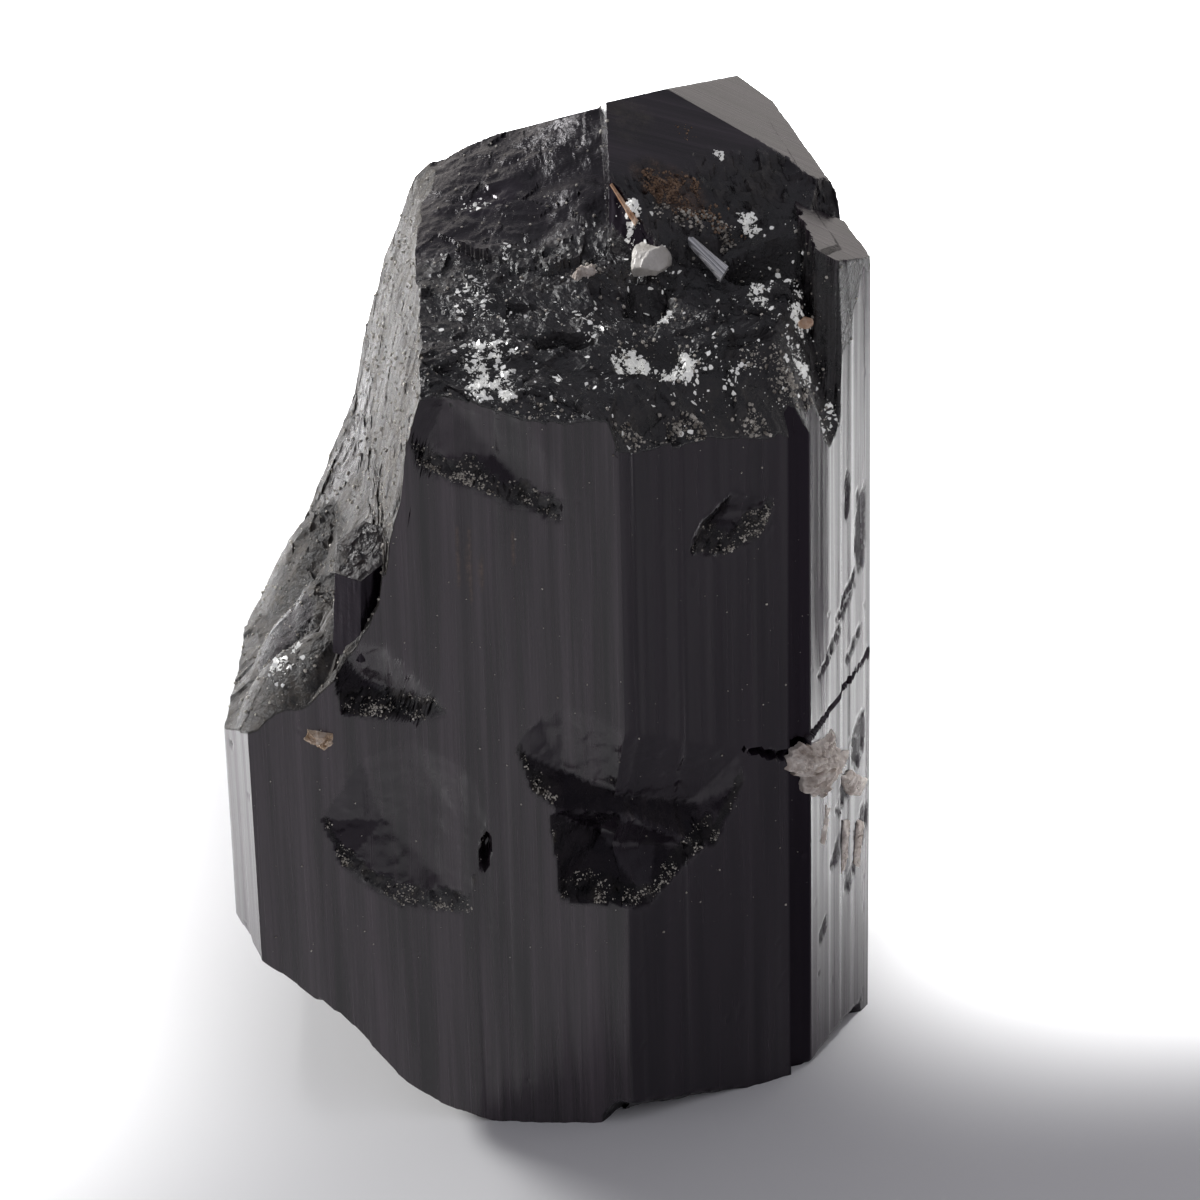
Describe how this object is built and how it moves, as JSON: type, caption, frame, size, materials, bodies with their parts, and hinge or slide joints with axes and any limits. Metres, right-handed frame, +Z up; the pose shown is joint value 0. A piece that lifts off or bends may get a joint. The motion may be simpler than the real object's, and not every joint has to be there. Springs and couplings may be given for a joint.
{
  "type": "tourmaline crystal",
  "caption": "Black tourmaline crystal standing on its foot: striated prism faces, rough broken top, smooth slanted end faces and a broken left side.",
  "frame": {"origin": "on the flat foot, under the middle of the prism", "axes": "+Z up along the crystal, -Y towards the side that the picture shows, +X to its right"},
  "size_m": [0.0446, 0.0316, 0.0687],
  "materials": {
    "tourmaline": "glossy black, striated, dull where it is broken",
    "feldspar": "dull, crumbly",
    "quartz": "milky",
    "mica": "silvery, striped"
  },
  "bodies": {
    "root": {"tourmaline_crystal": "tourmaline", "feldspar_patch": "feldspar", "feldspar_crumb": "feldspar", "quartz_grain": "quartz", "mica_blade": "mica"}
  },
  "joints": []
}
